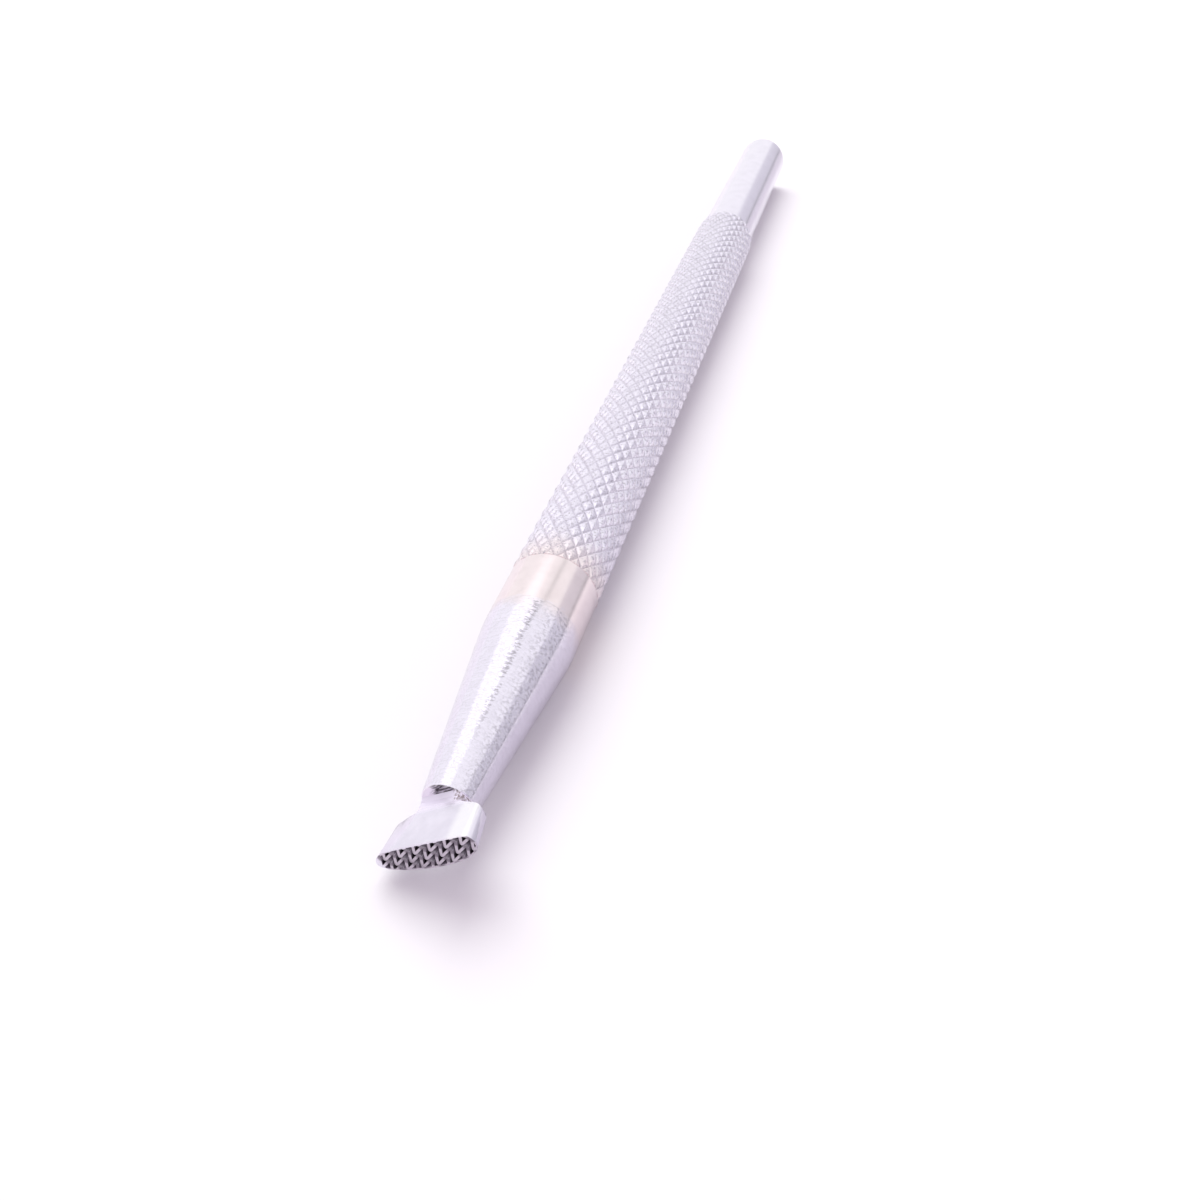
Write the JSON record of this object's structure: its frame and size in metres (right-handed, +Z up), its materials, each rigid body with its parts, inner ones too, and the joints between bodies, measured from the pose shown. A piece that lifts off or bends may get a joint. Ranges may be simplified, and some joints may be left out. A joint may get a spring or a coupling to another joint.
{
  "type": "leather stamping tool",
  "caption": "Slim plated steel hand stamp: plain striking end, diamond-knurled grip, tapered neck, and a leaf-shaped foot whose face presses a slanting scale pattern into damp leather.",
  "frame": {"origin": "middle of the tool's length, on the floor right under its axis, with the tool lying on its knurled grip", "axes": "+Y along the tool's axis from the stamping face towards the striking end, +Z up from the floor, +X across"},
  "size_m": [0.006, 0.11, 0.006],
  "materials": {
    "handle_plating": "bright plating over turned and knurled steel, with a faint straw heat tint on the nose band",
    "neck_plating": "bright plating over a turned taper with fine turning marks",
    "head_plating": "bright plating over a milled foot, dull in the recesses of the pattern"
  },
  "bodies": {
    "root": {"knurled_handle": "handle_plating", "tapered_neck": "neck_plating", "stamping_head": "head_plating"}
  },
  "joints": []
}
